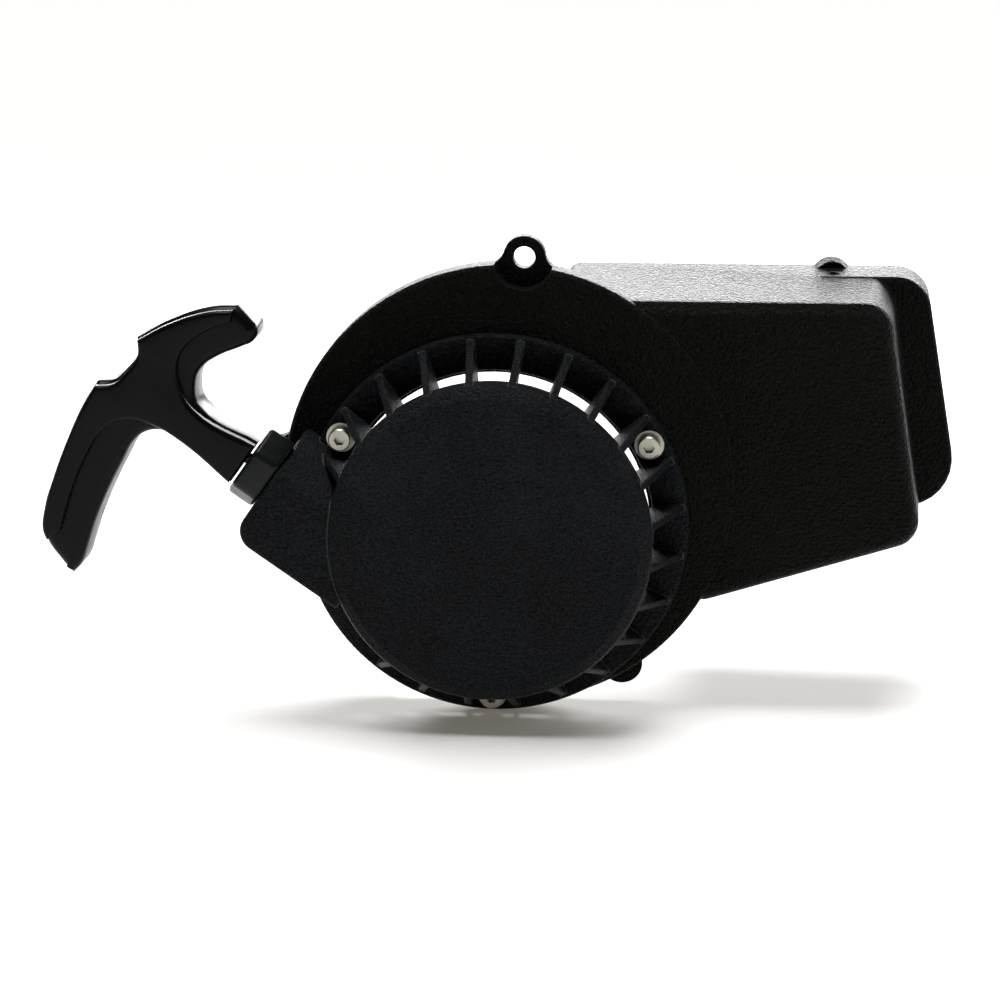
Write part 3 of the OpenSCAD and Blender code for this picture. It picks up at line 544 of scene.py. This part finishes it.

# %% [markdown]
# ## Rope
#
# The rope is one closed tube of many short lengths, from the bend inside the boss out to the knot in the
# handle.

# %% Rope
ROPE_R, KNOT_U = 1.75, 112.0
rope = bmesh.new()
inner = [Vector((BEND_U - s * math.cos(BEND), -s * math.sin(BEND))) for s in (34, 26, 18, 10, 4)]
route = inner + [Vector((BEND_U + 0.5 + k * (KNOT_U - 2 - BEND_U) / 70, 0)) for k in range(71)]
ring = bmesh.ops.create_circle(rope, segments=16, radius=ROPE_R * MM, matrix=Matrix.Translation(
    (route[0].x * MM, route[0].y * MM, 0)) @ Matrix.Rotation(math.radians(90), 4, "Y"))["verts"]
for last, here in zip(route, route[1:]):
    edges = list({e for v in ring for e in v.link_edges if e.other_vert(v) in ring})
    made = bmesh.ops.extrude_edge_only(rope, edges=edges)["geom"]
    ring = [g for g in made if isinstance(g, bmesh.types.BMVert)]
    bmesh.ops.translate(rope, verts=ring, vec=((here.x - last.x) * MM, (here.y - last.y) * MM, 0))
bmesh.ops.holes_fill(rope, edges=[e for e in rope.edges if e.is_boundary])
bmesh.ops.transform(rope, matrix=ON_ROPE, verts=rope.verts)
rope_piece = finish_piece(rope, "rope_paying_out", None, [], 60)
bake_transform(rope_piece)
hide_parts("rope_run")

# %% [markdown]
# ## A way to write materials
#
# A material is a graph of nodes, and long graphs are hard to read as code. `Val` wraps one
# output so that `a * 0.5 + b` adds the Math nodes by itself, and `Paint.node` adds any other
# node from its type, its settings and its inputs.

# %% Material helper
class Val:
    """A node's output, usable in Python expressions."""
    def __init__(self, paint, socket):
        self.paint, self.socket = paint, socket

    def _math(self, how, a, b):
        return self.paint.node("ShaderNodeMath", {"operation": how}, {0: a, 1: b})

    def __add__(self, other):
        return self._math("ADD", self, other)

    def __sub__(self, other):
        return self._math("SUBTRACT", self, other)

    def __rsub__(self, other):
        return self._math("SUBTRACT", other, self)

    def __mul__(self, other):
        return self._math("MULTIPLY", self, other)

    __radd__, __rmul__ = __add__, __mul__


class Paint:
    """A material on a Principled shader."""
    def __init__(self, name, **fixed):
        self.material = bpy.data.materials.new(name)
        self.material.use_nodes = True
        self.tree = self.material.node_tree
        self.tree.nodes.clear()
        self.shader = self.tree.nodes.new("ShaderNodeBsdfPrincipled")
        out = self.tree.nodes.new("ShaderNodeOutputMaterial")
        self.tree.links.new(self.shader.outputs[0], out.inputs["Surface"])
        for key, value in fixed.items():
            self.shader.inputs[key.replace("_", " ")].default_value = value
        self.place = self.node("ShaderNodeTexCoord", out="Object")

    def node(self, kind, settings=None, inputs=None, out=0):
        made = self.tree.nodes.new(kind)
        for key, value in (settings or {}).items():
            if key == "stops":
                ramp = made.color_ramp
                ramp.elements[0].position, ramp.elements[1].position = value[0][0], value[-1][0]
                for position, _ in value[1:-1]:
                    ramp.elements.new(position)
                for element, (_, colour) in zip(ramp.elements, value):
                    element.color = (*colour, 1)
            else:
                setattr(made, key, value)
        for key, value in (inputs or {}).items():
            self.feed(made.inputs[key], value)
        return Val(self, made.outputs[out])

    def feed(self, socket, value):
        if isinstance(value, Val):
            self.tree.links.new(value.socket, socket)
        else:
            socket.default_value = value

    def set(self, **inputs):
        for key, value in inputs.items():
            self.feed(self.shader.inputs[key.replace("_", " ")], value)

    def noise(self, size_mm, detail=2.0, rough=0.5):
        return self.node("ShaderNodeTexNoise", {}, {
            "Vector": self.place, "Scale": 1 / (size_mm * MM), "Detail": detail, "Roughness": rough})

    def cells(self, size_mm):
        return self.node("ShaderNodeTexVoronoi", {"feature": "F1"},
                         {"Vector": self.place, "Scale": 1 / (size_mm * MM)})

    def ramp(self, value, *stops):
        return self.node("ShaderNodeValToRGB", {"stops": stops}, {"Fac": value})

    def blend(self, factor, a, b):
        return self.node("ShaderNodeMix", {"data_type": "RGBA"}, {0: factor, 6: (*a, 1), 7: (*b, 1)}, out=2)

    def bump(self, height, depth_mm):
        return self.node("ShaderNodeBump", {}, {"Height": height, "Distance": depth_mm * MM, "Strength": 1.0})


def coat(thing, paint):
    """Gives an object one material in place of what it had."""
    thing.data.materials.clear()
    thing.data.materials.append(paint.material)


# %% [markdown]
# ## Finishes
#
# The casting has a crackle coat: thick black paint that dries into hard grains a little
# under a millimetre across. They are almost invisible face on and sparkle where the light
# grazes them. The housing has the same black in a finer, softer, leathery grain. A Bevel node
# finds the edges, and both coats are painted paler there: a painted edge highlight that
# stands in for light catching the edges, with some rubbed wear.

# %% Crackle coat
def black_coat(name, grain_mm, depth_mm, dark, pale, edge_highlight, gloss, shine):
    """A grained black from dark to pale, painted paler at its edges as an edge highlight, with some wear."""
    paint = Paint(name, Specular_IOR_Level=shine)
    grain = paint.cells(grain_mm)
    fine = paint.noise(grain_mm * 0.9, 3.0, 0.65)
    cloud = paint.noise(26, 2.0)
    wear = paint.ramp(paint.noise(3.5, 4.0, 0.7), (0.60, (0,) * 3), (0.74, (1,) * 3))
    tone = paint.ramp(fine + cloud * 0.25, (0.46, (0,) * 3), (0.8, (1,) * 3))
    rounded = paint.node("ShaderNodeBevel", {"samples": 4}, {"Radius": 0.7 * MM})
    true = paint.node("ShaderNodeNewGeometry", out="Normal")
    facing = paint.node("ShaderNodeVectorMath", {"operation": "DOT_PRODUCT"}, {0: rounded, 1: true},
                        out="Value")
    # Painted edge highlight: the Bevel node's edge mask makes the coat paler at every edge, standing in for
    # light catching the edges, with a little noise as wear
    rubbing_and_edge_highlight = paint.ramp((1 - facing) * 3.0 + fine * 0.25, (0.2, (0,) * 3), (0.75, (1,) * 3))
    paint.set(
        Base_Color=paint.node("ShaderNodeMix", {"data_type": "RGBA"},
                              {0: rubbing_and_edge_highlight * 0.75, 6: paint.blend(tone, dark, pale), 7: (*edge_highlight, 1)}, out=2),
        Roughness=paint.ramp(fine + wear * 0.2, (0.3, (gloss,) * 3), (0.9, (gloss + 0.3,) * 3)),
        Normal=paint.bump((1 - grain) * 0.7 + fine * 0.9, depth_mm),
    )
    return paint


# The third colour of each coat is its painted edge highlight
coat(cover, black_coat("crackle_coat", 1.0, 1.0, (0.0008, 0.001, 0.0007), (0.0055, 0.0062, 0.0047),
                       (0.035, 0.036, 0.034), 0.28, 0.07))
coat(housing_piece, black_coat("leather_grain", 0.8, 0.6, (0.0008, 0.001, 0.0014), (0.0165, 0.0185, 0.0215),
                              (0.14, 0.142, 0.14), 0.34, 0.07))

# %% [markdown]
# The handle is glossy moulded plastic with a faint orange-peel, rubbed duller where it is
# held. The guide is a harder, greener plastic, satin and smooth.

# %% Plastics
gloss_black = Paint("gloss_black_plastic", Specular_IOR_Level=0.1)
rubbing_and_edge_highlight = gloss_black.noise(9, 3.0)
gloss_black.set(Base_Color=gloss_black.blend(rubbing_and_edge_highlight, (0.0025, 0.0025, 0.0026), (0.005, 0.005, 0.005)),
                Roughness=gloss_black.ramp(rubbing_and_edge_highlight, (0.3, (0.2,) * 3), (0.75, (0.38,) * 3)),
                Normal=gloss_black.bump(gloss_black.noise(1.6, 2.0), 0.03))
satin_green = Paint("satin_green_black", Specular_IOR_Level=0.2)
haze = satin_green.noise(5, 3.0)
satin_green.set(Base_Color=satin_green.blend(haze, (0.004, 0.0062, 0.005), (0.008, 0.011, 0.009)),
                Roughness=satin_green.ramp(haze, (0.3, (0.3,) * 3), (0.7, (0.42,) * 3)),
                Normal=satin_green.bump(satin_green.noise(0.9, 2.0), 0.015))
nylon = Paint("natural_nylon", Subsurface_Weight=0.15)
cast_lines = nylon.noise(6, 4.0)
nylon.set(Base_Color=nylon.blend(cast_lines, (0.20, 0.19, 0.16), (0.27, 0.26, 0.225)), Roughness=0.45,
          Normal=nylon.bump(nylon.noise(1.2, 2.0), 0.02))

# %% [markdown]
# Small metal parts are plated or oiled. Each gets fine scratches and a slow change of tone.

# %% Metals
def metal(name, dark, light, rough, scratch_mm=0.4):
    """Bare or plated metal, with scratches of one size."""
    paint = Paint(name, Metallic=1.0)
    tone, scratch = paint.noise(4, 3.0), paint.noise(scratch_mm, 2.0)
    paint.set(Base_Color=paint.blend(tone, dark, light),
              Roughness=paint.ramp(scratch, (0.3, (rough,) * 3), (0.8, (rough + 0.2,) * 3)),
              Normal=paint.bump(scratch, 0.012))
    return paint


yellow_zinc = metal("yellow_zinc", (0.36, 0.35, 0.29), (0.58, 0.57, 0.5), 0.28)
zinc = metal("zinc", (0.26, 0.26, 0.25), (0.4, 0.4, 0.385), 0.34)
blued = metal("blued_spring", (0.06, 0.07, 0.1), (0.16, 0.16, 0.2), 0.3)
sintered = metal("sintered_iron", (0.1, 0.1, 0.1), (0.19, 0.19, 0.185), 0.46, 0.2)
brass = metal("oiled_brass", (0.5, 0.34, 0.14), (0.68, 0.48, 0.22), 0.3)

# %% [markdown]
# The rope is braided nylon, off-white gone tan. Its strands show as a fine wavy relief.

# %% Rope fibre
fibre = Paint("braided_rope", Sheen_Weight=0.2)
strand = fibre.node("ShaderNodeTexWave", {"bands_direction": "DIAGONAL"},
                    {"Vector": fibre.place, "Scale": 420.0, "Distortion": 3.0, "Detail": 2.0})
fibre.set(Base_Color=fibre.blend(strand, (0.3, 0.22, 0.13), (0.58, 0.47, 0.32)), Roughness=0.85,
          Normal=fibre.bump(strand, 0.25))

# %% [markdown]
# Each CAD node takes the finish of what it is made of, and so do the remade pieces. A round
# solid from the CAD arrives in flat facets, so it is shaded smooth as well.

# %% Give every piece its finish
for paint, names in [
    (yellow_zinc, ["cover_screws", "cover_washers"]),
    (zinc, ["rope_eyelet", "spring_cover", "spring_pin", "pawl_pins", "friction_plate", "centre_washer",
            "centre_screw"]),
    (blued, ["recoil_spring", "pawl_springs", "brake_spring"]),
    (sintered, ["pawl_upper", "pawl_lower"]),
    (brass, ["reel_bush"]),
    (nylon, ["reel"]),
    (fibre, ["handle_knot", "rope_coil", "reel_knot", "rope_run"]),
    (gloss_black, ["handle_plug", "pull_handle"]),
    (satin_green, ["rope_guide"]),
]:
    for name in names:
        coat(nodes[name], paint)
        smooth(nodes[name].data, 30)
coat(handle_piece, gloss_black)
coat(collar_piece, satin_green)
coat(rope_piece, fibre)

# %% [markdown]
# ## Table and light
#
# The table is a plain pale sheet under the part's lowest point, with a faint glow of its own
# as on a light table, which keeps the shadow pale. A broad sun overhead lights the table
# evenly out to its edge, which a panel can't. A panel behind and above grazes every upward
# face, which makes the crackle coat sparkle, and one at the right picks out the duct's edge.
# Nothing lights the front, so the black reads as black.

# %% Table and light
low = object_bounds()[0]
table = bmesh.new()
bmesh.ops.create_grid(table, x_segments=2, y_segments=2, size=80,
                      matrix=Matrix.Translation((0, 0, low.z - 0.0002)))
floor = finish_piece(table, "table", None, [])
pale = Paint("pale_table", Emission_Strength=0.13, Emission_Color=(1.0, 0.92, 0.8, 1), Specular_IOR_Level=0.1)
pale.set(Base_Color=pale.blend(pale.noise(400, 2.0), (0.86, 0.855, 0.85), (0.88, 0.88, 0.875)), Roughness=0.8)
coat(floor, pale)


def light(name, kind, where, aim, power, size):
    """A sun with its angle in degrees, or a panel with its two sides in metres."""
    lamp = bpy.data.objects.new(name, bpy.data.lights.new(name, kind))
    bpy.context.scene.collection.objects.link(lamp)
    lamp.data.energy = power
    if kind == "SUN":
        lamp.data.angle = math.radians(size[0])
    else:
        lamp.data.shape = "RECTANGLE"
        lamp.data.size, lamp.data.size_y = size
    lamp.location = where
    lamp.rotation_mode = "QUATERNION"
    lamp.rotation_quaternion = (Vector(aim) - Vector(where)).to_track_quat("-Z", "Z")


light("overhead", "SUN", (-0.06, 0.08, 1.0), (0, 0, 0), 3.25, (34,))
light("behind", "AREA", (0.10, 1.25, 0.38), (0.06, 0, 0.06), 34, (2.0, 0.4))
light("right", "AREA", (1.10, 0.25, 0.35), (0.12, 0, 0.03), 1.2, (0.5, 0.7))
world = bpy.data.worlds.new("room")
bpy.context.scene.world = world
world.use_nodes = True
world.node_tree.nodes["Background"].inputs["Color"].default_value = (1, 1, 1, 1)
world.node_tree.nodes["Background"].inputs["Strength"].default_value = 0.03
bpy.context.scene.view_settings.view_transform = "Standard"
